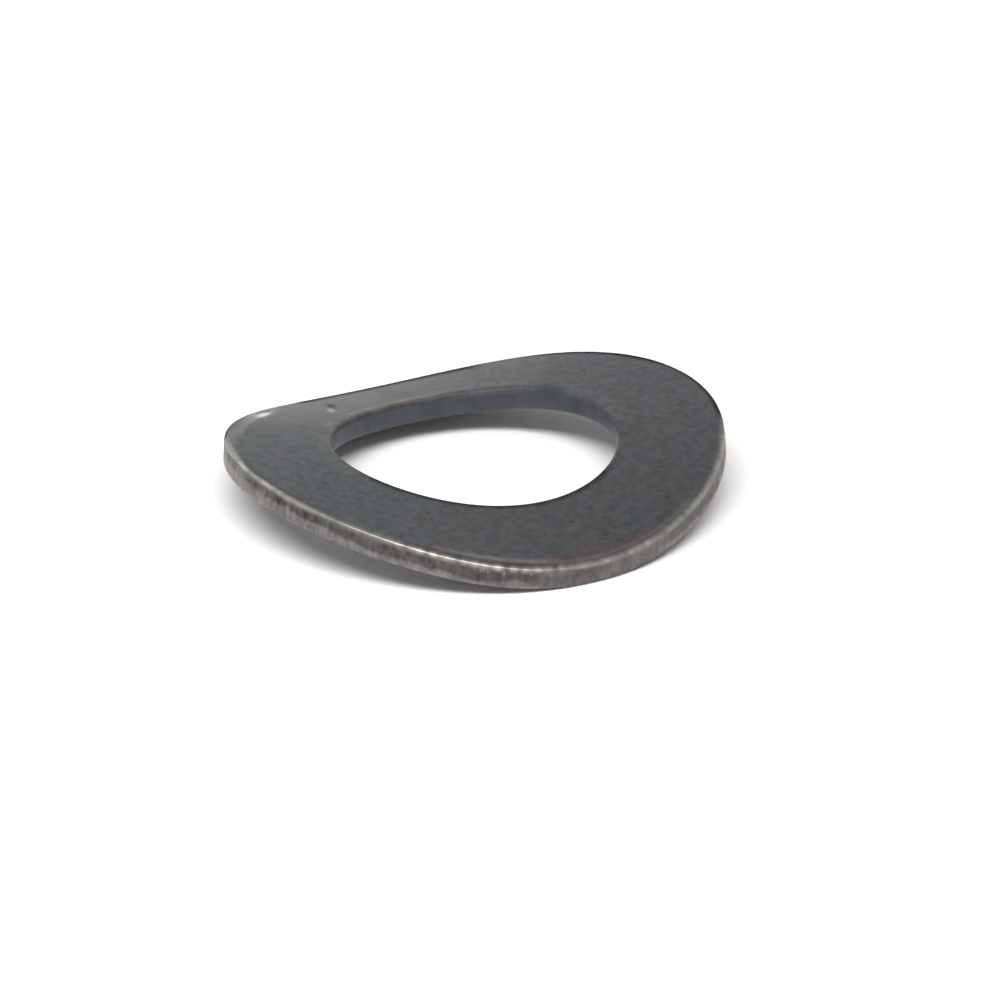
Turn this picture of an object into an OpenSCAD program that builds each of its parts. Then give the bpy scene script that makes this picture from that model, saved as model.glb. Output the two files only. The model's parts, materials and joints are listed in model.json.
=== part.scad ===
// Curved spring washer, M8 size: one ring blanked from spring steel strip and bent two ways.
// Its two opposite ends stand up, and the two sides between them rest on the floor.
//
// Z is the axis of the bore, the floor is z = 0, and X runs through the two raised ends.
// All lengths are millimetres.

/* [Ring] */
// Outside diameter, seen from above
outer_d = 15; // [14:0.1:17]
// Diameter of the bore, which clears an M8 shank
bore_d = 8.6; // [8.3:0.05:9]
// Thickness of the strip
thickness = 0.75; // [0.6:0.01:0.9]

/* [Bend] */
// How far the rim's raised ends stand above its low sides, at mid thickness
wave_rise = 1.62; // [0.8:0.01:2.2]
// How fast the bend grows outward from the axis: 2 is an even saddle
wave_power = 1.85; // [1.7:0.05:2.4]
// How far the rim's mean level lies below the sheet's level at the axis
dish = 0.2; // [0:0.01:0.3]
// How far the rim's ends and sides fall short of an even wave
wave_flat = 0.06; // [0:0.005:0.09]

/* [Edges] */
// Width of the band that blanking rolls down inside the upper rim
roll_w = 0.24; // [0.15:0.01:0.4]
// How far that band comes down where it meets the rim's corner
roll_drop = 0.03; // [0.02:0.005:0.07]
// Corner radius of the upper rim
rim_r = 0.08; // [0.05:0.01:0.12]
// Corner radius of the lower rim
foot_r = 0.08; // [0.05:0.01:0.14]
// Corner radius of both edges of the bore
bore_edge_r = 0.12; // [0.06:0.01:0.15]

/* [Facets] */
// Sections round the ring, a multiple of four so that both axes fall on a section
stations = 160; // [80:4:180]

/* [Hidden] */

outer_r = outer_d / 2;
bore_r = bore_d / 2;
half_t = thickness / 2;
wave = wave_rise / 2;

// the formed ring is left this much tight, and the bore is then cut true
bore_stock = 0.01;
blank_r = bore_r - bore_stock;
bore_edge_c = blank_r + bore_edge_r;

// the rolled band is a parabola, and the rim's corner goes on from its end slope
roll_slope = atan(2 * roll_drop / roll_w);
rim_c = outer_r - rim_r;
rim_level = half_t - roll_drop - rim_r * cos(roll_slope);
roll_end = rim_c + rim_r * sin(roll_slope);
roll_start = roll_end - roll_w;
foot_c = outer_r - foot_r;

// steps that each stretch of the section is drawn in
face_steps = 4;
roll_steps = 3;
rim_steps = 4;
foot_steps = 3;
bore_edge_steps = 3;

// a stretch leaves out its last point, which the next stretch starts from
function arc(r_c, level_c, radius, from, to, steps) = [
    for (k = [0 : steps - 1])
        let (a = from + (to - from) * k / steps)
        [r_c + radius * cos(a), level_c + radius * sin(a)]
];

function face(from, to, level, steps) = [
    for (k = [0 : steps - 1]) [from + (to - from) * k / steps, level]
];

function rolled_band() = [
    for (k = [0 : roll_steps - 1])
        let (x = k / roll_steps)
        [roll_start + roll_w * x, half_t - roll_drop * x * x]
];

// section of the flat blank as [radius, level], from the bore's top edge outward and back below
section = concat(
    arc(bore_edge_c, half_t - bore_edge_r, bore_edge_r, 180, 90, bore_edge_steps),
    face(bore_edge_c, roll_start, half_t, face_steps),
    rolled_band(),
    arc(rim_c, rim_level, rim_r, 90 - roll_slope, 0, rim_steps),
    [[outer_r, rim_level]],
    arc(foot_c, foot_r - half_t, foot_r, 0, -90, foot_steps),
    face(foot_c, bore_edge_c, -half_t, face_steps),
    arc(bore_edge_c, bore_edge_r - half_t, bore_edge_r, -90, -180, bore_edge_steps),
    [[blank_r, bore_edge_r - half_t]]
);

// height of the bent sheet's middle at radius r and angle a, and its two slopes there
function mid_z(r, a) =
    let (q = r / outer_r)
    wave * pow(q, wave_power) * cos(2 * a) - dish * pow(q, 2) - wave_flat * pow(q, 4) * cos(4 * a);

function slope_out(r, a) =
    let (q = r / outer_r)
    (
        wave * wave_power * pow(q, wave_power - 1) * cos(2 * a)
        - 2 * dish * q
        - 4 * wave_flat * pow(q, 3) * cos(4 * a)
    ) / outer_r;

function slope_round(r, a) =
    let (q = r / outer_r)
    (4 * wave_flat * pow(q, 4) * sin(4 * a) - 2 * wave * pow(q, wave_power) * sin(2 * a)) / r;

// share of the sheet's lean that its thickness follows: the outer wall stays square to the
// bent sheet, and the bore's wall stays upright
function lean(r) = max(0, (r - bore_r) / (outer_r - bore_r));

// where a point of the flat blank goes when the ring is bent
function formed(r, level, a) =
    let (
        out = slope_out(r, a),
        round_ = slope_round(r, a),
        steepness = out * out + round_ * round_,
        l = lean(r),
        rise = level * sqrt(1 + steepness) / (1 + l * steepness),
        x = r - rise * l * out,
        y = -rise * l * round_
    )
    [x * cos(a) - y * sin(a), x * sin(a) + y * cos(a), mid_z(r, a) + rise];

ring_points = [
    for (k = [0 : stations - 1])
        for (p = section)
            formed(p[0], p[1], k * 360 / stations)
];

n = len(section);

// two triangles between each pair of neighbouring points on neighbouring sections
ring_faces = [
    for (k = [0 : stations - 1])
        let (here = k * n, there = (k + 1) % stations * n)
        for (j = [0 : n - 1])
            let (i = (j + 1) % n)
            for (triangle = [[here + j, there + j, there + i], [here + j, there + i, here + i]])
                triangle
];

floor_z = min([for (p = ring_points) p[2]]);
top_z = max([for (p = ring_points) p[2]]);

module bent_ring() {
    translate([0, 0, -floor_z])
        polyhedron(ring_points, ring_faces);
}

module washer() {
    color("#5a5c5f")
        difference() {
            bent_ring();
            translate([0, 0, -thickness])
                cylinder(h = top_z - floor_z + 2 * thickness, r = bore_r, $fn = stations);
        }
}

washer();
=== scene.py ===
# A curved spring washer, finished in oil-blackened spring steel, round the frame that its CAD
# model packs to.
#
# The ring is one piece. It is built here again, far finer than the CAD node that it stands for, by
# the same rule that bends the flat blank. So it carries the small things that the solid leaves
# out, such as the scores of the sheared wall, the knocks along the rim and the marks on the face.
# Lengths are metres unless a name or a comment says mm, and places round the ring are degrees from
# +X.

import json
import math

import bpy
import numpy as np
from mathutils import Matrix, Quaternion, Vector


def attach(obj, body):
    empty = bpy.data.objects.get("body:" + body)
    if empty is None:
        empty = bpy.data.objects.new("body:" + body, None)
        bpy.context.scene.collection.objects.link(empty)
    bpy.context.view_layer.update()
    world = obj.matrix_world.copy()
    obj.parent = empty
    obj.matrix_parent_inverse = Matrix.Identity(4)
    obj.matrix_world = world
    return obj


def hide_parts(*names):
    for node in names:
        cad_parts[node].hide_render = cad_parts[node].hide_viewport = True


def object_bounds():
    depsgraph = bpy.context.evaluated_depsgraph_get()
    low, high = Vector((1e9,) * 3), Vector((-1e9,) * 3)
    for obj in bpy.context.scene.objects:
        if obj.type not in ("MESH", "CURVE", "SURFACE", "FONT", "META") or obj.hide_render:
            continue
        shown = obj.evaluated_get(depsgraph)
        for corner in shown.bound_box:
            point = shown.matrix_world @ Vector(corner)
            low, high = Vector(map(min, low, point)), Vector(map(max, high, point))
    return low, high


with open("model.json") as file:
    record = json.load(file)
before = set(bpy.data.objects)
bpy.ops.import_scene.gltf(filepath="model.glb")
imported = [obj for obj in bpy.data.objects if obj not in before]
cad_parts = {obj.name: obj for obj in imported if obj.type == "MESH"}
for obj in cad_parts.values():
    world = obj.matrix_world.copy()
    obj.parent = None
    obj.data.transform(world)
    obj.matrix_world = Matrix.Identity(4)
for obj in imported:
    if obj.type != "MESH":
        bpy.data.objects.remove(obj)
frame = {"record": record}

bl_info = {
    "name": "Curved spring washer",
    "version": (1, 0, 0),
    "blender": (4, 5, 0),
    "location": "3D View > Sidebar > Washer",
    "description": "Builds a curved spring washer on its CAD frame, and a studio to show it in",
    "category": "Add Mesh",
}

MM = 0.001
CAD_NODE = "washer"
CAD_LOW, CAD_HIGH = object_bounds()
BORE = frame["record"]["mounts"][0]
# how wide the washer is, and how far the ring's height may stray from the CAD washer's
SPAN = CAD_HIGH.x - CAD_LOW.x
HEIGHT_TOLERANCE = 0.02 * MM

# the finish's patterns, by the real size of what they draw, in millimetres
TINT_PATCH_MM = 0.85
MOTTLE_MM = 0.23
SPECK_MM = 0.12
STREAK_MM = 0.2
BLOTCH_MM = 0.45
CLOUD_MM = 0.4
# the oxide's real grit is far finer, and is drawn this coarse to show
GRIT_MM = 0.12
# heights count this much in the wall's streaks, which draws them out through the thickness, and
# they carry the shear line this far up and down
STREAK_SQUASH = 0.55
TEETH_MM = 0.3
# how deep the relief of the grit and the streaks is
RELIEF_MM = 0.012

# the mesh's attributes that say where each finish lies
MASKS = (
    "wear_and_painted_light",
    "nick_glint",
    "oxide_and_painted_shade",
    "dull",
    "wall",
    "bore_wall",
    "bore_corner",
    "warmth",
    "past_shear_mm",
)

# marks on the face: radius in millimetres and place round the ring, and for the pits and the nick
# their half lengths along the ring and across it in millimetres
DENT = (5.66, 113.7)
PITS = (
    (6.63, 300.6, 0.05, 0.05),
    (6.545, 277.35, 0.05, 0.05),
    (5.615, 272.2, 0.05, 0.05),
)
# the nick raises a small burr, and its near-white colour is a painted glint
NICK_GLINT = (6.94, 130.75, 0.36, 0.13)
# how many small random marks there are, and the number that their draws start from
KNOCKS = 170
SCORES = 420
TICKS = 6
OXIDE_TEETH = 26
MARKS_SEED = 7
# bands across the face where the section is drawn finely enough to carry the marks, and the steps
# inside and outside them
FINE_BANDS_MM = ((5.55, 5.92), (6.5, 6.68), (6.72, 7.15))
FINE_STEP_MM = 0.03
FACE_STEP_MM = 0.2

# how many washers' widths away the floor ends and the lamps stand
FLOOR_REACH = 100
LAMP_REACH = 20
# the rear softboxes: how far round from the camera they stand to either side, how high, and the
# right one's share of the left one's power
REAR_TURN = math.radians(145)
REAR_ELEVATION = math.radians(10)
REAR_RIGHT_SHARE = 0.7
# the width of the camera's sensor, which the lens's focal length goes with
SENSOR_MM = 36


def linear(code):
    """The linear colour of an sRGB hex value."""
    parts = [int(code[i : i + 2], 16) / 255 for i in (0, 2, 4)]
    return (*(p / 12.92 if p <= 0.04045 else ((p + 0.055) / 1.055) ** 2.4 for p in parts), 1.0)


class WasherSizes(bpy.types.PropertyGroup):
    """The flat blank and the bend that turns it into the washer"""

    outer_diameter: bpy.props.FloatProperty(
        name="Outside diameter",
        description="Diameter of the flat blank",
        default=15 * MM,
        unit="LENGTH",
    )
    bore_diameter: bpy.props.FloatProperty(
        name="Bore diameter",
        description="Diameter of the upright bore",
        default=2 * BORE["dims"]["r_mm"] * MM,
        unit="LENGTH",
    )
    thickness: bpy.props.FloatProperty(
        name="Thickness",
        description="Thickness of the strip that the blank is punched from",
        default=0.75 * MM,
        unit="LENGTH",
    )
    wave_rise: bpy.props.FloatProperty(
        name="Wave rise",
        description="How far the rim's raised ends stand above its low sides",
        default=1.62 * MM,
        unit="LENGTH",
    )
    wave_power: bpy.props.FloatProperty(
        name="Wave power",
        description="How fast the bend grows outward from the axis, where 2 is an even saddle",
        default=1.85,
    )
    dish: bpy.props.FloatProperty(
        name="Dish",
        description="How far the rim's mean level lies below the sheet's level at the axis",
        default=0.2 * MM,
        unit="LENGTH",
    )
    wave_flat: bpy.props.FloatProperty(
        name="Wave flattening",
        description="How far the rim's ends and sides fall short of an even wave",
        default=0.06 * MM,
        unit="LENGTH",
    )
    roll_width: bpy.props.FloatProperty(
        name="Rolled band",
        description="Width of the band that blanking rolls down inside the upper rim",
        default=0.24 * MM,
        unit="LENGTH",
    )
    roll_drop: bpy.props.FloatProperty(
        name="Rolled band's drop",
        description="How far the rolled band comes down where it meets the rim's corner",
        default=0.03 * MM,
        unit="LENGTH",
    )
    rim_radius: bpy.props.FloatProperty(
        name="Rim radius",
        description="Corner radius of the upper rim",
        default=0.08 * MM,
        unit="LENGTH",
    )
    foot_radius: bpy.props.FloatProperty(
        name="Foot radius",
        description="Corner radius of the lower rim",
        default=0.08 * MM,
        unit="LENGTH",
    )
    bore_edge_radius: bpy.props.FloatProperty(
        name="Bore edge radius",
        description="Corner radius of both edges of the bore",
        default=0.12 * MM,
        unit="LENGTH",
    )
    stations: bpy.props.IntProperty(
        name="Stations",
        description="Sections round the ring",
        default=1040,
        min=240,
        max=1040,
    )


class SteelFinish(bpy.types.PropertyGroup):
    """Colours and gloss of oil-blackened spring steel"""

    oxide_cool: bpy.props.FloatVectorProperty(
        name="Cool oxide",
        description="The greener of the black oxide's two tints",
        default=linear("545f60"),
        size=4,
        min=0.0,
        max=1.0,
        subtype="COLOR",
    )
    oxide_warm: bpy.props.FloatVectorProperty(
        name="Warm oxide",
        description="The redder of the black oxide's two tints",
        default=linear("655a5f"),
        size=4,
        min=0.0,
        max=1.0,
        subtype="COLOR",
    )
    sheared: bpy.props.FloatVectorProperty(
        name="Sheared wall",
        description="Thin brown oxide on the smooth upper wall, where the punch sheared it",
        default=linear("5a5657"),
        size=4,
        min=0.0,
        max=1.0,
        subtype="COLOR",
    )
    torn: bpy.props.FloatVectorProperty(
        name="Torn wall",
        description="Greyer oxide on the coarse lower wall, where the blank tore off",
        default=linear("787574"),
        size=4,
        min=0.0,
        max=1.0,
        subtype="COLOR",
    )
    bore: bpy.props.FloatVectorProperty(
        name="Bore wall",
        description="Blue-black oxide of the bore's wall",
        default=linear("4e5159"),
        size=4,
        min=0.0,
        max=1.0,
        subtype="COLOR",
    )
    # bare steel, also painted where highlights and light fall on the rims, the raised end and the
    # bore's edge
    bare_steel_and_highlight: bpy.props.FloatVectorProperty(
        name="Bare steel",
        description="Spring steel where the oxide has rubbed off",
        default=linear("c2beb4"),
        size=4,
        min=0.0,
        max=1.0,
        subtype="COLOR",
    )
    # a near-white colour that paints a glint on the nick
    painted_glint: bpy.props.FloatVectorProperty(
        name="Fresh nick",
        description="Clean steel in the nick by the raised end",
        default=linear("f4f3f0"),
        size=4,
        min=0.0,
        max=1.0,
        subtype="COLOR",
    )
    rosy: bpy.props.FloatVectorProperty(
        name="Rosy wall",
        description="Thicker reddish oxide that evens out part of the wall",
        default=linear("665f62"),
        size=4,
        min=0.0,
        max=1.0,
        subtype="COLOR",
    )
    # matt black oxide; it also paints the dark lines of shade beside the rim's highlight and along
    # the bore
    black_oxide_and_shade: bpy.props.FloatVectorProperty(
        name="Heavy oxide",
        description="Matt black oxide that stays along the corners",
        default=linear("1c1c1d"),
        size=4,
        min=0.0,
        max=1.0,
        subtype="COLOR",
    )
    gloss: bpy.props.FloatProperty(
        name="Face roughness",
        description="Roughness of the oiled oxide on the faces",
        default=0.42,
        min=0.05,
        max=1.0,
        subtype="FACTOR",
    )
    gloss_spread: bpy.props.FloatProperty(
        name="Roughness spread",
        description="How far the mottle moves the faces' roughness up and down",
        default=0.06,
        min=0.0,
        max=0.2,
        subtype="FACTOR",
    )
    wall_gloss: bpy.props.FloatProperty(
        name="Wall roughness",
        description="Roughness of the sheared wall",
        default=0.5,
        min=0.05,
        max=1.0,
        subtype="FACTOR",
    )
    corner_gloss: bpy.props.FloatProperty(
        name="Bore corner roughness",
        description="Roughness of the corner between the upper face and the bore",
        default=0.75,
        min=0.05,
        max=1.0,
        subtype="FACTOR",
    )
    heavy_gloss: bpy.props.FloatProperty(
        name="Heavy oxide roughness",
        description="Roughness of the matt black oxide",
        default=0.8,
        min=0.05,
        max=1.0,
        subtype="FACTOR",
    )
    bare_gloss: bpy.props.FloatProperty(
        name="Bare roughness",
        description="Roughness of the rubbed corners",
        default=0.5,
        min=0.05,
        max=1.0,
        subtype="FACTOR",
    )


class StudioSettings(bpy.types.PropertyGroup):
    """Floor, lamps and camera"""

    floor: bpy.props.FloatVectorProperty(
        name="Floor",
        description="Colour of the floor",
        default=linear("fbf9f7"),
        size=4,
        min=0.0,
        max=1.0,
        subtype="COLOR",
    )
    floor_lift: bpy.props.FloatProperty(
        name="Floor lift",
        description="How much brighter the floor shows than the light it gives",
        default=1.27,
        min=1.0,
    )
    ceiling: bpy.props.FloatProperty(
        name="Ceiling",
        description="Brightness of the dome's top as the steel shows it",
        default=0.35,
        min=0.0,
    )
    dome: bpy.props.FloatProperty(
        name="Dome light",
        description="Brightness of the even light from all round",
        default=0.42,
        min=0.0,
    )
    key: bpy.props.FloatProperty(
        name="Key softbox",
        description="Power of the wide softbox above the camera, in watts",
        default=0.85,
        min=0.0,
    )
    key_azimuth: bpy.props.FloatProperty(
        name="Key azimuth",
        description="Where the key softbox stands round the washer",
        default=math.radians(-35),
        subtype="ANGLE",
    )
    key_elevation: bpy.props.FloatProperty(
        name="Key elevation",
        description="How high the key softbox stands",
        default=math.radians(56),
        subtype="ANGLE",
    )
    rear: bpy.props.FloatProperty(
        name="Rear softboxes",
        description="Power of the softbox low behind the washer on the left, in watts",
        default=0.12,
        min=0.0,
    )
    azimuth: bpy.props.FloatProperty(
        name="Camera azimuth",
        description="Where the camera stands round the washer, where 0 looks along +Y",
        default=math.radians(-27.16),
        subtype="ANGLE",
    )
    elevation: bpy.props.FloatProperty(
        name="Camera elevation",
        description="How far above the floor's plane the camera looks down from",
        default=math.radians(23.1),
        subtype="ANGLE",
    )
    distance: bpy.props.FloatProperty(
        name="Camera distance",
        description="From the camera to the point on the bore's axis that it aims at",
        default=132.3 * MM,
        unit="LENGTH",
    )
    aim_height: bpy.props.FloatProperty(
        name="Aim height",
        description="Height of the point that the camera aims at, the middle of the sheet",
        default=1.41 * MM,
        unit="LENGTH",
    )
    roll: bpy.props.FloatProperty(
        name="Camera roll",
        description="How far the camera leans to its side",
        default=math.radians(-1.02),
        subtype="ANGLE",
    )
    shift: bpy.props.FloatVectorProperty(
        name="Camera shift",
        description="How far the frame is moved right and up, as a share of its width",
        default=(0.0253, -0.0502),
        size=2,
    )
    lens: bpy.props.FloatProperty(
        name="Lens",
        description=f"Focal length in millimetres on a sensor {SENSOR_MM} mm wide",
        default=159.0,
    )


def direction(azimuth, elevation):
    """Unit vector towards a place round the washer, where azimuth 0 is -Y and 90 degrees is +X."""
    level = math.cos(elevation)
    return Vector((math.sin(azimuth) * level, -math.cos(azimuth) * level, math.sin(elevation)))


def arc(centre, level, radius, start, end, steps):
    """Points of a corner in the section, without its last one."""
    turn = np.radians(np.linspace(start, end, steps, endpoint=False))
    return np.stack([centre + radius * np.cos(turn), level + radius * np.sin(turn)], 1)


def straight(start, end, steps):
    """Points of a straight stretch of the section, without its last one."""
    return np.linspace(start, end, steps, endpoint=False)


def face_radii(start, end):
    """Radii across the upper face, closer together in the bands that carry its marks."""
    fine = [np.arange(low, high, FINE_STEP_MM) * MM for low, high in FINE_BANDS_MM]
    steps = round((end - start) / (FACE_STEP_MM * MM))
    coarse = np.linspace(start, end, steps, endpoint=False)
    clear = [r for r in coarse if all(abs(fines - r).min() > FINE_STEP_MM * MM for fines in fine)]
    return np.sort(np.concatenate([clear, *fine]))


def blank_section(s):
    """The flat blank's section as [radius, level], from the bore's top edge outward and back below,
    and the name of the stretch that each point belongs to."""
    outer, bore, half = s.outer_diameter / 2, s.bore_diameter / 2, s.thickness / 2
    edge, rim, foot = s.bore_edge_radius, s.rim_radius, s.foot_radius
    # the rolled band is a parabola, and the rim's corner goes on from its end slope
    slope = math.atan(2 * s.roll_drop / s.roll_width)
    rim_level = half - s.roll_drop - rim * math.cos(slope)
    roll_end = outer - rim + rim * math.sin(slope)
    roll_start = roll_end - s.roll_width
    across = np.linspace(0, 1, 8, endpoint=False)
    rolled = np.stack([roll_start + s.roll_width * across, half - s.roll_drop * across**2], 1)
    face = face_radii(bore + edge, roll_start)
    stretches = {
        "bore_top": arc(bore + edge, half - edge, edge, 180, 90, 6),
        "face": np.stack([face, np.full_like(face, half)], 1),
        "rolled": rolled,
        "rim": arc(outer - rim, rim_level, rim, 90 - math.degrees(slope), 0, 8),
        "wall": straight((outer, rim_level), (outer, foot - half), 10),
        "foot": arc(outer - foot, foot - half, foot, 0, -90, 6),
        "underside": straight((outer - foot, -half), (bore + edge, -half), 4),
        "bore_foot": arc(bore + edge, edge - half, edge, -90, -180, 5),
        "bore_wall": straight((bore, edge - half), (bore, half - edge), 5),
    }
    names = [name for name, points in stretches.items() for _ in points]
    return np.concatenate(list(stretches.values())), np.array(names)


def bend(s, radius, level, angle):
    """Where points of the flat blank go when the ring is bent."""
    outer, bore, wave = s.outer_diameter / 2, s.bore_diameter / 2, s.wave_rise / 2
    q = radius / outer
    twice, four = np.cos(2 * angle), np.cos(4 * angle)
    middle = wave * q**s.wave_power * twice - s.dish * q**2 - s.wave_flat * q**4 * four
    # the sheet's slopes outward and round the ring
    out = (
        wave * s.wave_power * q ** (s.wave_power - 1) * twice
        - 2 * s.dish * q
        - 4 * s.wave_flat * q**3 * four
    ) / outer
    along = (
        4 * s.wave_flat * q**4 * np.sin(4 * angle) - 2 * wave * q**s.wave_power * np.sin(2 * angle)
    ) / radius
    steepness = out**2 + along**2
    # the outer wall stays square to the bent sheet, and the bore's wall stays upright
    lean = np.maximum(0, (radius - bore) / (outer - bore))
    rise = level * np.sqrt(1 + steepness) / (1 + lean * steepness)
    x, y = radius - rise * lean * out, -rise * lean * along
    c, n = np.cos(angle), np.sin(angle)
    return np.stack([x * c - y * n, x * n + y * c, middle + rise], -1)


def ring_normals(places):
    """Unit normals of the grid of places, which closes on itself both ways."""
    along = np.roll(places, -1, 0) - np.roll(places, 1, 0)
    across = np.roll(places, -1, 1) - np.roll(places, 1, 1)
    normal = np.cross(across, along)
    return normal / np.linalg.norm(normal, axis=-1, keepdims=True)


def add(tree, kind, inputs=None, **settings):
    """A new node with its settings, and its inputs set to values or linked to nodes or sockets."""
    node = tree.nodes.new("ShaderNode" + kind)
    for name, value in settings.items():
        setattr(node, name, value)
    for name, value in (inputs or {}).items():
        if isinstance(value, bpy.types.Node):
            value = next(socket for socket in value.outputs if socket.enabled)
        if isinstance(value, bpy.types.NodeSocket):
            tree.links.new(value, node.inputs[name])
        else:
            node.inputs[name].default_value = value
    return node


def seen_directly(tree):
    """1 for a ray from the camera, off steel or through glass, and 0 for one that only lights."""
    path = add(tree, "LightPath").outputs
    reached = path["Is Camera Ray"]
    for other in ("Is Glossy Ray", "Is Transmission Ray"):
        reached = add(tree, "Math", {0: reached, 1: path[other]}, operation="MAXIMUM")
    return reached


def new_material(name):
    """An empty material with its node tree."""
    material = bpy.data.materials.new(name)
    material.use_nodes = True
    material.node_tree.nodes.clear()
    return material, material.node_tree


def faces_oxide(tree, finish, place, warmth):
    """The black oxide of the faces, with its mottle and its specks for the other parts to share."""
    # its tints: greenish to reddish and yellowish to bluish, in patches
    patches = add(tree, "TexNoise", {"Vector": place, "Scale": 1 / TINT_PATCH_MM, "Detail": 3.0})
    redness = add(
        tree,
        "MapRange",
        {"Value": patches, "From Min": 0.3, "From Max": 0.7, "To Min": 0.24, "To Max": 0.76},
    )
    redness = add(tree, "Math", {0: redness, 1: warmth}, operation="ADD", use_clamp=True)
    tint = add(
        tree,
        "MixRGB",
        {"Fac": redness, "Color1": finish.oxide_cool, "Color2": finish.oxide_warm},
    )
    beyond = add(tree, "VectorMath", {0: place, 1: (20, 0, 0)})
    patches = add(tree, "TexNoise", {"Vector": beyond, "Scale": 1 / TINT_PATCH_MM, "Detail": 3.0})
    blueness = add(tree, "MapRange", {"Value": patches, "From Min": 0.3, "From Max": 0.7})
    blueness = add(
        tree, "MixRGB", {"Fac": blueness, "Color1": (1, 1, 0.96, 1), "Color2": (1, 1, 1.07, 1)}
    )
    tint = add(
        tree, "MixRGB", {"Fac": 1.0, "Color1": tint, "Color2": blueness}, blend_type="MULTIPLY"
    )

    # a cloudy mottle over the tints, and small dark specks
    mottle = add(
        tree, "TexNoise", {"Vector": place, "Scale": 1 / MOTTLE_MM, "Detail": 3.0, "Roughness": 0.6}
    )
    shade = add(
        tree,
        "MapRange",
        {"Value": mottle, "From Min": 0.25, "From Max": 0.75, "To Min": 0.77, "To Max": 1.23},
    )
    grains = add(tree, "TexNoise", {"Vector": place, "Scale": 1 / SPECK_MM, "Detail": 1.0})
    specks = add(
        tree,
        "MapRange",
        {"Value": grains, "From Min": 0.68, "From Max": 0.78, "To Min": 1.0, "To Max": 0.65},
    )
    shade = add(tree, "Math", {0: shade, 1: specks}, operation="MULTIPLY")
    oxide = add(
        tree, "MixRGB", {"Fac": 1.0, "Color1": tint, "Color2": shade}, blend_type="MULTIPLY"
    )
    return oxide, mottle, specks


def walls_oxide(tree, finish, place, mask, specks):
    """The oxide of the outer wall and of the bore's wall, and the outer wall's streaks."""
    # the streaks run through the thickness, so their pattern changes slowly with height; they carry
    # the line between the sheared and the torn wall up and down with them
    tall = add(tree, "VectorMath", {0: place, 1: (1, 1, STREAK_SQUASH)}, operation="MULTIPLY")
    streaks = add(
        tree, "TexNoise", {"Vector": tall, "Scale": 1 / STREAK_MM, "Detail": 3.0, "Roughness": 0.65}
    )
    blotches = add(
        tree, "TexNoise", {"Vector": tall, "Scale": 1 / BLOTCH_MM, "Detail": 2.0, "Roughness": 0.6}
    )
    teeth = add(tree, "Math", {0: blotches, 1: -0.5}, operation="ADD")
    torn = add(
        tree, "Math", {0: teeth, 1: TEETH_MM, 2: mask["past_shear_mm"]}, operation="MULTIPLY_ADD"
    )
    torn = add(tree, "MapRange", {"Value": torn, "From Min": -0.05, "From Max": 0.05})
    outer = add(tree, "MixRGB", {"Fac": torn, "Color1": finish.sheared, "Color2": finish.torn})
    outer = add(tree, "MixRGB", {"Fac": mask["warmth"], "Color1": outer, "Color2": finish.rosy})
    streaky, blotchy = (
        add(
            tree,
            "MapRange",
            {"Value": pattern, "From Min": 0.3, "From Max": 0.7, "To Min": least, "To Max": most},
        )
        for pattern, least, most in ((streaks, 0.7, 1.3), (blotches, 0.88, 1.12))
    )
    for shade in (streaky, blotchy, specks):
        outer = add(
            tree, "MixRGB", {"Fac": 1.0, "Color1": outer, "Color2": shade}, blend_type="MULTIPLY"
        )
    # the bore's wall has only the blotches
    bore = add(
        tree,
        "MixRGB",
        {"Fac": 1.0, "Color1": finish.bore, "Color2": blotchy},
        blend_type="MULTIPLY",
    )
    return outer, bore, streaks


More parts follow.
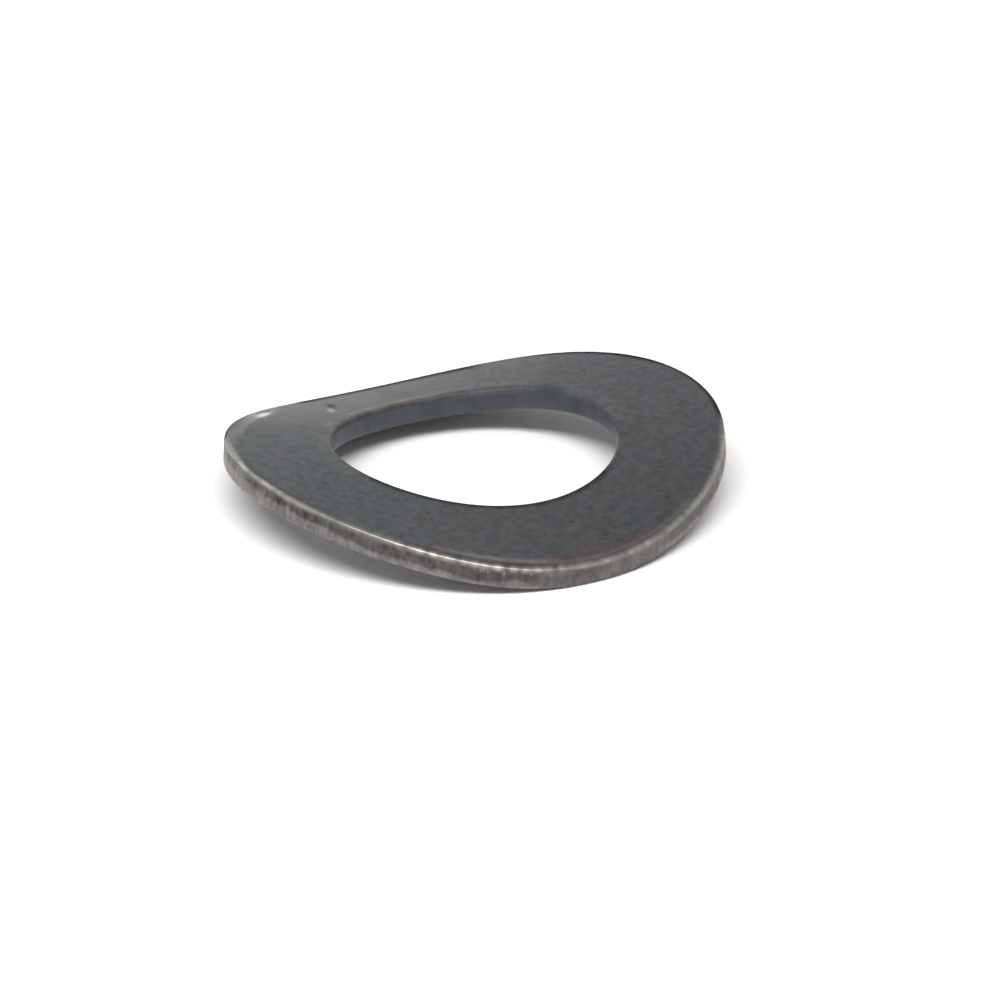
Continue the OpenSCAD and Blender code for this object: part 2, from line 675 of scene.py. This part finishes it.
def oil_blackened_steel(finish):
    """Spring steel blackened in hot salts and dipped in oil: a satin, nearly black oxide that
    drifts between a greenish and a reddish grey, browner and streaked on the sheared wall, and
    rubbed bright on the corners. The bright steel also carries painted highlights, painted light
    and a painted glint, and the black oxide carries painted shade."""
    material, tree = new_material("Oil_Blackened_Spring_Steel")
    place = add(tree, "Attribute", attribute_name="blank_mm").outputs["Vector"]
    mask = {name: add(tree, "Attribute", attribute_name=name).outputs["Fac"] for name in MASKS}
    colour, mottle, specks = faces_oxide(tree, finish, place, mask["warmth"])
    outer, bore, streaks = walls_oxide(tree, finish, place, mask, specks)

    # thin wear and the painted light come and go in clouds
    clouds = add(
        tree, "TexNoise", {"Vector": place, "Scale": 1 / CLOUD_MM, "Detail": 3.0, "Roughness": 0.6}
    )
    share = add(
        tree,
        "MapRange",
        {"Value": clouds, "From Min": 0.3, "From Max": 0.7, "To Min": 0.7, "To Max": 1.3},
    )
    wear_and_painted_light = add(tree, "Math", {0: mask["wear_and_painted_light"], 1: share}, operation="MULTIPLY", use_clamp=True)

    # each finish lies over the one before it, with its own roughness; the bore's corner keeps the
    # face's colour
    least, most = finish.gloss - finish.gloss_spread, finish.gloss + finish.gloss_spread
    gloss = add(
        tree,
        "MapRange",
        {"Value": mottle, "From Min": 0.25, "From Max": 0.75, "To Min": least, "To Max": most},
    )
    for where, paint, roughness in (
        (mask["bore_corner"], None, finish.corner_gloss),
        (mask["wall"], outer, finish.wall_gloss),
        (mask["bore_wall"], bore, finish.gloss),
        # black oxide, and with it painted shade
        (mask["oxide_and_painted_shade"], finish.black_oxide_and_shade, finish.heavy_gloss),
        # bare steel for the wear, and with it painted highlights and painted light
        (wear_and_painted_light, finish.bare_steel_and_highlight, finish.bare_gloss),
        # near white for the nick, a painted glint
        (mask["nick_glint"], finish.painted_glint, finish.bare_gloss),
    ):
        if paint is not None:
            colour = add(tree, "MixRGB", {"Fac": where, "Color1": colour, "Color2": paint})
        grey = (roughness, roughness, roughness, 1.0)
        gloss = add(tree, "MixRGB", {"Fac": where, "Color1": gloss, "Color2": grey})

    # the gleam that steel has at a low angle follows the mottle, and a thick oxide and the
    # painted shade take it away
    gleam = add(
        tree,
        "MapRange",
        {"Value": mottle, "From Min": 0.3, "From Max": 0.6, "To Min": 0.8, "To Max": 1.0},
    )
    thick = add(tree, "Math", {0: mask["oxide_and_painted_shade"], 1: mask["dull"]}, operation="MAXIMUM")
    gleam = add(tree, "MixRGB", {"Fac": thick, "Color1": gleam, "Color2": finish.black_oxide_and_shade})

    # relief: the grit of the oxide on the faces, and the streaks on the wall
    grit = add(
        tree, "TexNoise", {"Vector": place, "Scale": 1 / GRIT_MM, "Detail": 2.0, "Roughness": 0.6}
    )
    grit = add(tree, "Math", {0: grit, 1: 0.42}, operation="MULTIPLY")
    relief = add(tree, "MixRGB", {"Fac": mask["wall"], "Color1": grit, "Color2": streaks})
    bump = add(tree, "Bump", {"Height": relief, "Strength": 0.35, "Distance": RELIEF_MM * MM})
    shader = add(
        tree,
        "BsdfPrincipled",
        {
            "Base Color": colour,
            "Metallic": 1.0,
            "Roughness": gloss,
            "Specular Tint": gleam,
            "Normal": bump,
        },
    )
    add(tree, "OutputMaterial", {"Surface": shader})
    return material


def round_noise(turn, slowest, fastest, seed):
    """Even noise round the ring, which closes on itself: its waves a turn lie between the two
    numbers. About two thirds of it lies between -1 and 1."""
    rng = np.random.default_rng(seed)
    count = 40
    waves = rng.integers(slowest, fastest + 1, count)
    starts = rng.uniform(0, 2 * math.pi, count)
    return np.cos(np.multiply.outer(turn, waves) + starts).sum(-1) * math.sqrt(2 / count)


def hump(value, width):
    """1 at 0, falling smoothly to nearly nothing at twice the width."""
    return np.exp(-((value / width) ** 2))


def band(value, start, end, soft):
    """1 between two values, fading over the soft length outside them."""
    t = np.clip(np.maximum(start - value, value - end) / soft, 0, 1)
    return 1 - t * t * (3 - 2 * t)


def middle_of(lengths, names, stretch):
    """Where a stretch's middle lies along the section."""
    inside = lengths[names == stretch]
    return (inside[0] + inside[-1]) / 2


class Blank:
    """The flat ring's points, one row for each section, and where each of them lies on it"""

    def __init__(self, sizes):
        section, names = blank_section(sizes)
        angle = np.arange(sizes.stations) * 2 * math.pi / sizes.stations
        self.radius, self.turn = np.meshgrid(section[:, 0], angle)
        self.level = np.broadcast_to(section[:, 1], self.radius.shape)

        # distances in mm along the section, outward and down, from three of its corners
        steps = np.linalg.norm(np.diff(section, axis=0, append=section[:1]), axis=1)
        lengths = np.concatenate([[0], np.cumsum(steps)[:-1]])
        self.from_rim, self.from_foot, self.from_edge = (
            np.broadcast_to(lengths - middle_of(lengths, names, corner), self.radius.shape) / MM
            for corner in ("rim", "foot", "bore_top")
        )

        # 1 on the upper face, on the outer wall and on the bore's wall
        self.face = (names == "face") * 1.0
        self.walls = np.isin(names, ["wall", "foot"]) * 1.0
        self.bores = np.isin(names, ["bore_wall", "bore_foot"]) * 1.0

        # noise that changes only round the ring: small beads and a slow drift
        self.beads = round_noise(self.turn[:, 0], 45, 170, seed=3)[:, None]
        self.slow = round_noise(self.turn[:, 0], 5, 40, seed=4)[:, None]

    def sector(self, start, end, soft):
        """1 between two places round the ring, fading over the soft angle outside them."""
        middle, half = (start + end) / 2, (end - start) / 2
        return band((np.degrees(self.turn) - middle + 180) % 360 - 180, -half, half, soft)

    def along_from(self, at):
        """Distance in mm along the ring from a place round it."""
        past = (self.turn - math.radians(at) + math.pi) % (2 * math.pi) - math.pi
        return past * self.radius / MM

    def spot(self, where_mm, at, length_mm, width_mm):
        """1 in the middle of a spot on the face, falling smoothly round it."""
        across = hump(self.radius / MM - where_mm, width_mm)
        return self.face * hump(self.along_from(at), length_mm) * across


def knocks_and_scores(blank, rng):
    """How far the surface sinks at the knocks along the upper rim and the scores down the wall, in
    thousandths of a millimetre."""
    sink = np.zeros_like(blank.radius)
    for _ in range(KNOCKS):
        at, width, depth = rng.uniform(0, 360), rng.uniform(0.03, 0.09), rng.uniform(1, 5)
        middle = rng.uniform(-0.02, 0.06)
        sink += depth * hump(blank.along_from(at), width) * hump(blank.from_rim - middle, 0.06)
    on_wall = (blank.from_rim > 0.03) & (blank.from_rim < 0.6)
    for _ in range(SCORES):
        at, width, depth = rng.uniform(0, 360), rng.uniform(0.03, 0.06), rng.uniform(0.5, 3)
        middle, half = rng.uniform(0.1, 0.5), rng.uniform(0.1, 0.45)
        score = hump(blank.along_from(at), width) * hump(blank.from_rim - middle, half)
        sink += depth * score * on_wall
    return sink


def dent_and_lip(blank):
    """1 in the slanting dent on the face, and 1 on the lip that it raised beside itself."""
    where_mm, at = DENT
    along = blank.along_from(at)
    # the dent comes inward by this much for each millimetre round the ring
    slant = blank.radius / MM - where_mm + 0.86 * along
    dent = blank.face * hump(slant, 0.19) * hump(along + 0.26, 0.24)
    lip = blank.face * hump(slant, 0.17) * hump(along - 0.3, 0.24)
    return dent, lip


def rim_wear_and_highlight(blank):
    """Bare steel along the rim's corner, partly wear and partly a painted highlight where the key
    softbox shows in the rim, brightest on the near left. The far rim keeps its oxide, but for one
    rubbed stretch."""
    sector = blank.sector
    far = np.maximum(sector(-20, 43, 5), sector(64, 110, 5))
    much = (
        0.14
        + 0.3 * sector(172, 330, 14)
        + 0.3 * sector(172, 194, 10)
        + 0.25 * sector(157, 168, 5)
        + 0.1 * sector(177, 188, 5)
        + 0.13 * sector(228, 246, 6)
        + 0.04 * sector(266, 300, 8)
    )
    middle = (
        -0.035
        + 0.03 * sector(230, 256, 6)
        + 0.02 * sector(196, 206, 5)
        - 0.05 * sector(158, 172, 6)
        - 0.02 * sector(258, 300, 6)
    )
    wide = (
        0.08
        + 0.035 * sector(150, 166, 8)
        + 0.02 * sector(198, 222, 6)
        + 0.03 * sector(212, 224, 5)
        + 0.02 * sector(228, 258, 6)
        + 0.02 * sector(270, 330, 12)
    )
    breaks = 0.1 + 0.24 * sector(230, 256, 8)
    wear_and_painted_light = hump(blank.from_rim - middle, wide) * (1 - far)
    return wear_and_painted_light * np.clip(much * (1 + breaks * blank.beads + 0.2 * blank.slow), 0, 1)


def wear_and_painted_light_places(blank, rng):
    """How much of the steel is rubbed bright all over the ring, as wear and as painted highlights
    and painted light.
    """
    from_rim, from_foot, from_edge = blank.from_rim, blank.from_foot, blank.from_edge
    patchy = np.clip(1 + 0.2 * blank.slow, 0, 2)
    lumpy = np.clip(1 + 0.6 * blank.slow + 0.3 * blank.beads, 0, 2)
    wear_and_painted_light = rim_wear_and_highlight(blank)
    # how much shows, the sector it lies in with its fade, and where it lies across
    for much, start, end, fade, where in (
        # the wall's top, widening the rim's painted highlight; its foot, where the light line is
        # partly wear and partly a painted reflection of the floor; and the wall, painted lighter
        (0.05, 175, 330, 10, hump(from_rim - 0.08, 0.11)),
        (0.12, 228, 256, 10, hump(from_foot + 0.03, 0.08) * lumpy),
        (0.12, 150, 182, 8, hump(from_foot + 0.03, 0.08)),
        (0.1, 160, 186, 8, blank.walls * lumpy),
        (0.06, 274, 296, 8, blank.walls),
        # a painted light line inside the near rim, standing in for light on its rolled band
        (0.25, 236, 258, 6, hump(from_rim + 0.34, 0.1)),
        (0.14, 262, 300, 8, hump(from_rim + 0.24, 0.1)),
        # the raised end, where bands along the rim and on the face are partly wear and partly
        # painted light
        (0.5, 115, 128, 5, hump(from_rim + 0.12, 0.16) * patchy),
        (0.42, 126, 138, 6, band(from_rim, -0.57, -0.14, 0.1) * patchy),
        (0.21, 142, 152, 6, band(from_rim, -0.5, -0.1, 0.1) * patchy),
        (0.2, 154, 159, 4, band(from_rim, -0.32, -0.1, 0.1) * patchy),
        (0.08, 100, 132, 12, blank.face),
        # beside the bore, partly wear and partly a painted highlight along its top edge
        (0.09, 78, 185, 14, hump(from_edge - 0.16, 0.22)),
        (0.28, 80, 118, 12, hump(from_edge - 0.24, 0.18)),
        (0.2, 106, 136, 8, hump(from_edge - 0.2, 0.2) * patchy),
        (0.16, 138, 164, 8, hump(from_edge - 0.12, 0.18) * patchy),
        (0.1, 48, 84, 12, hump(from_edge - 0.4, 0.4)),
        (0.07, -12, 20, 8, hump(from_edge - 0.1, 0.25)),
        # the far side's face, painted lighter
        (0.055, 44, 80, 10, blank.face),
    ):
        wear_and_painted_light = np.maximum(wear_and_painted_light, much * blank.sector(start, end, fade) * where)
    # short ticks on the near wall
    for _ in range(TICKS):
        at, width, middle = rng.uniform(243, 262), rng.uniform(0.02, 0.035), rng.uniform(0.12, 0.2)
        tick = hump(blank.along_from(at), width) * hump(from_rim - middle, 0.08)
        wear_and_painted_light = np.maximum(wear_and_painted_light, 0.4 * tick)
    return wear_and_painted_light


def oxide_and_shade_places(blank, rng):
    """How much black oxide and painted shade there is, all over the ring."""
    from_rim, from_edge = blank.from_rim, blank.from_edge
    far_rim = band(from_rim + 0.03 + 0.12 * blank.sector(20, 60, 16), 0, 0.2, 0.2)
    black_oxide_and_shade = np.zeros_like(blank.radius)
    # how much there is, the sector it lies in with its fade, and where it lies across
    for much, start, end, fade, where in (
        # the far rim
        (0.62, -20, 43, 7, far_rim),
        (0.25, 66, 108, 6, band(from_rim, -0.4, 0.1, 0.25)),
        # the raised end's rim, darker along its edge, and a painted dark line of shade inside the
        # near rim's corner, beside its highlight
        (0.6, 132, 154, 6, hump(from_rim, 0.09)),
        (0.25, 126, 144, 6, hump(from_rim + 0.1, 0.16)),
        (0.22, 176, 252, 8, hump(from_rim + 0.14, 0.05)),
        (0.5, 244, 250, 3, hump(from_rim + 0.12, 0.04)),
        # a little on the near wall
        (0.1, 244, 268, 5, blank.walls),
        # painted shade along the bore: a dark line beside its near top edge, and dark over the far
        # corner where a highlight would show
        (0.6, 205, 300, 12, hump(from_edge - 0.1, 0.08)),
        (0.3, 74, 142, 8, hump(from_edge + 0.06, 0.07)),
    ):
        black_oxide_and_shade = np.maximum(black_oxide_and_shade, much * blank.sector(start, end, fade) * where)
    # teeth of it reach up the wall towards the rim
    for _ in range(OXIDE_TEETH):
        at, width, depth = rng.uniform(181, 235), rng.uniform(0.03, 0.1), rng.uniform(0.04, 0.14)
        tooth = hump(blank.along_from(at), width) * hump(from_rim - 0.09 - depth, depth)
        black_oxide_and_shade = np.maximum(black_oxide_and_shade, 0.42 * tooth)
    return black_oxide_and_shade


def shear_line(blank):
    """How far down the wall from the rim the sheared part ends and the torn part starts, in mm."""
    sector = blank.sector
    return (
        0.32
        + 0.17 * sector(217, 241, 12)
        + 0.04 * sector(244, 268, 8)
        + 0.1 * sector(284, 330, 8)
        + 0.07 * sector(293, 320, 6)
        + 0.02 * blank.slow
    )


def closed_mesh(name, places):
    """A smooth mesh of quads over the grid of places, which closes on itself both ways."""
    rounds, across = places.shape[:2]
    here = np.arange(rounds * across).reshape(rounds, across)
    there = np.roll(here, -1, 0)
    corners = [here, there, np.roll(there, -1, 1), np.roll(here, -1, 1)]
    quads = np.stack(corners, -1).reshape(-1, 4)
    mesh = bpy.data.meshes.new(name)
    mesh.from_pydata(places.reshape(-1, 3).tolist(), [], quads.tolist())
    mesh.polygons.foreach_set("use_smooth", np.ones(len(quads), bool))
    mesh.update()
    return mesh


class WASHER_OT_build_ring(bpy.types.Operator):
    """Build the bent ring with its finish, in the place of the CAD washer"""

    bl_idname = "washer.build_ring"
    bl_label = "Build the ring"

    def execute(self, context):
        sizes = context.scene.washer_sizes
        blank = Blank(sizes)
        places = bend(sizes, blank.radius, blank.level, blank.turn)
        places[..., 2] += CAD_LOW.z - places[..., 2].min()
        if abs(places[..., 2].max() - CAD_HIGH.z) > HEIGHT_TOLERANCE:
            raise RuntimeError("the ring is not as high as the CAD washer")

        # the marks sink into the surface by thousandths of a millimetre, and those below 0 rise;
        # one generator draws the small ones, so their order stays
        rng = np.random.default_rng(MARKS_SEED)
        sink = knocks_and_scores(blank, rng)
        dent, lip = dent_and_lip(blank)
        pits = sum(blank.spot(*pit) for pit in PITS)
        # the nick raises a burr and carries a painted glint
        nick_glint = blank.spot(*NICK_GLINT)
        sink += 10 * dent - 9 * lip + 14 * pits - 15 * nick_glint
        places = places - ring_normals(places) * (sink * 0.001 * MM)[..., None]

        # the lip beside the dent is painted bright as a highlight, and the dent painted dark as
        # shade in its hollow
        wear_and_painted_light = np.maximum(wear_and_painted_light_places(blank, rng), 0.8 * lip)
        black_oxide_and_shade = np.maximum(oxide_and_shade_places(blank, rng), np.maximum(0.4 * dent, 0.5 * pits))
        # a wide stretch of the far rim has lost its gleam, and is no darker
        dull = 0.82 * blank.sector(64, 110, 5) * band(blank.from_rim, -0.12, 0.2, 0.75)
        # a stretch of the near wall and rim is reddish, and the left end greener
        reddish = blank.walls + 0.5 * hump(blank.from_rim + 0.35, 0.25)
        warmth = 0.8 * blank.sector(260, 286, 8) * reddish - 0.22 * blank.sector(135, 215, 25)

        mesh = closed_mesh("bent_ring", places)
        masks = (
            np.clip(wear_and_painted_light, 0, 1),
            np.clip(1.6 * nick_glint, 0, 1),
            black_oxide_and_shade,
            dull,
            blank.walls,
            blank.bores,
            hump(blank.from_edge, 0.16),
            warmth,
            blank.from_rim - shear_line(blank),
        )
        for name, values in zip(MASKS, masks, strict=True):
            values = np.broadcast_to(values, blank.radius.shape).astype(np.float32)
            mesh.attributes.new(name, "FLOAT", "POINT").data.foreach_set("value", values.ravel())
        x, y = blank.radius * np.cos(blank.turn), blank.radius * np.sin(blank.turn)
        flat = (np.stack([x, y, blank.level], -1) / MM).astype(np.float32)
        data = mesh.attributes.new("blank_mm", "FLOAT_VECTOR", "POINT").data
        data.foreach_set("vector", flat.ravel())

        mesh.materials.append(oil_blackened_steel(context.scene.washer_finish))
        ring = bpy.data.objects.new("bent_ring", mesh)
        context.scene.collection.objects.link(ring)
        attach(ring, "root")
        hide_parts(CAD_NODE)
        return {"FINISHED"}


def lay_floor(scene, studio):
    """Lay the floor, a pale matt board far wider than the view."""
    reach = FLOOR_REACH * SPAN
    corners = [(-reach, -reach), (reach, -reach), (reach, reach), (-reach, reach)]
    mesh = bpy.data.meshes.new("floor")
    mesh.from_pydata([(x, y, CAD_LOW.z) for x, y in corners], [], [(0, 1, 2, 3)])
    floor = bpy.data.objects.new("floor", mesh)
    scene.collection.objects.link(floor)
    material, tree = new_material("Matt_White_Board")
    lift = add(
        tree,
        "MapRange",
        {"Value": seen_directly(tree), "To Min": 1.0, "To Max": studio.floor_lift},
    )
    paint = {0: studio.floor[:3], "Scale": lift}
    colour = add(tree, "VectorMath", paint, operation="SCALE")
    board = add(tree, "BsdfDiffuse", {"Color": colour})
    add(tree, "OutputMaterial", {"Surface": board})
    mesh.materials.append(material)


def hang_dome(scene, studio):
    """Hang the dome of even light, which shows white to the camera and in the steel, where its top
    is darker."""
    world = bpy.data.worlds.new("white_dome")
    world.use_nodes = True
    tree = world.node_tree
    tree.nodes.clear()
    towards = add(tree, "TexCoord").outputs["Generated"]
    height = add(tree, "SeparateXYZ", {0: towards}).outputs["Z"]
    ceiling = add(
        tree,
        "MapRange",
        {
            "Value": height,
            "From Min": 0.75,
            "From Max": 0.95,
            "To Min": 1.0,
            "To Max": studio.ceiling,
        },
        interpolation_type="SMOOTHSTEP",
    )
    path = add(tree, "LightPath").outputs
    strength = add(
        tree,
        "MapRange",
        {"Value": path["Is Glossy Ray"], "To Min": studio.dome, "To Max": ceiling},
    )
    bright = add(
        tree,
        "Math",
        {0: path["Is Camera Ray"], 1: path["Is Transmission Ray"]},
        operation="MAXIMUM",
    )
    strength = add(tree, "MapRange", {"Value": bright, "To Min": strength, "To Max": 1.0})
    light = add(tree, "Background", {"Strength": strength})
    add(tree, "OutputWorld", {"Surface": light})
    scene.world = world


def light_softboxes(scene, studio):
    """Set up the softboxes, each facing the washer."""
    away = LAMP_REACH * SPAN
    left, right = studio.azimuth - REAR_TURN, studio.azimuth + REAR_TURN
    # where each stands, how many degrees wide and high it looks from the washer, and its power
    for name, azimuth, elevation, width, height, power in (
        ("key_softbox", studio.key_azimuth, studio.key_elevation, 60, 18, studio.key),
        ("rear_left_softbox", left, REAR_ELEVATION, 40, 40, studio.rear),
        ("rear_right_softbox", right, REAR_ELEVATION, 40, 40, REAR_RIGHT_SHARE * studio.rear),
    ):
        lamp = bpy.data.lights.new(name, "AREA")
        lamp.energy = power
        lamp.shape = "ELLIPSE"
        lamp.size = 2 * away * math.tan(math.radians(width / 2))
        lamp.size_y = 2 * away * math.tan(math.radians(height / 2))
        softbox = bpy.data.objects.new(name, lamp)
        towards = direction(azimuth, elevation)
        softbox.location = towards * away
        softbox.rotation_mode = "QUATERNION"
        softbox.rotation_quaternion = towards.to_track_quat("Z", "Y")
        softbox.visible_camera = False
        scene.collection.objects.link(softbox)


def place_camera(scene, studio):
    """Place the camera, aimed at the middle of the sheet on the bore's axis."""
    aim = Vector((0, 0, studio.aim_height))
    back = direction(studio.azimuth, studio.elevation)
    lean = Quaternion((0, 0, 1), studio.roll)
    data = bpy.data.cameras.new("camera")
    data.sensor_width = SENSOR_MM
    data.lens = studio.lens
    data.shift_x, data.shift_y = studio.shift
    data.clip_start, data.clip_end = 0.1 * SPAN, 10 * FLOOR_REACH * SPAN
    camera = bpy.data.objects.new("camera", data)
    camera.rotation_mode = "QUATERNION"
    camera.location = aim + back * studio.distance
    camera.rotation_quaternion = (-back).to_track_quat("-Z", "Y") @ lean
    scene.collection.objects.link(camera)
    scene.camera = camera


class WASHER_OT_set_stage(bpy.types.Operator):
    """Lay the floor and set up the lamps and the camera"""

    bl_idname = "washer.set_stage"
    bl_label = "Set the stage"

    def execute(self, context):
        scene = context.scene
        studio = scene.washer_studio
        lay_floor(scene, studio)
        hang_dome(scene, studio)
        light_softboxes(scene, studio)
        place_camera(scene, studio)
        scene.view_settings.view_transform = "Standard"
        return {"FINISHED"}


class WASHER_PT_panel(bpy.types.Panel):
    """Sizes, finish and studio of the curved spring washer"""

    bl_idname = "WASHER_PT_panel"
    bl_label = "Curved spring washer"
    bl_space_type = "VIEW_3D"
    bl_region_type = "UI"
    bl_category = "Washer"

    def draw(self, context):
        for group, operator in (
            (context.scene.washer_sizes, None),
            (context.scene.washer_finish, "washer.build_ring"),
            (context.scene.washer_studio, "washer.set_stage"),
        ):
            box = self.layout.box()
            for name in group.bl_rna.properties.keys():
                if name not in ("rna_type", "name"):
                    box.prop(group, name)
            if operator:
                box.operator(operator)


GROUPS = {
    "washer_sizes": WasherSizes,
    "washer_finish": SteelFinish,
    "washer_studio": StudioSettings,
}
CLASSES = (*GROUPS.values(), WASHER_OT_build_ring, WASHER_OT_set_stage, WASHER_PT_panel)


def register():
    for cls in CLASSES:
        bpy.utils.register_class(cls)
    for name, group in GROUPS.items():
        setattr(bpy.types.Scene, name, bpy.props.PointerProperty(type=group))


def unregister():
    for name in GROUPS:
        delattr(bpy.types.Scene, name)
    for cls in reversed(CLASSES):
        bpy.utils.unregister_class(cls)


def main():
    register()
    bpy.ops.washer.build_ring()
    bpy.ops.washer.set_stage()


if __name__ == "__main__":
    main()
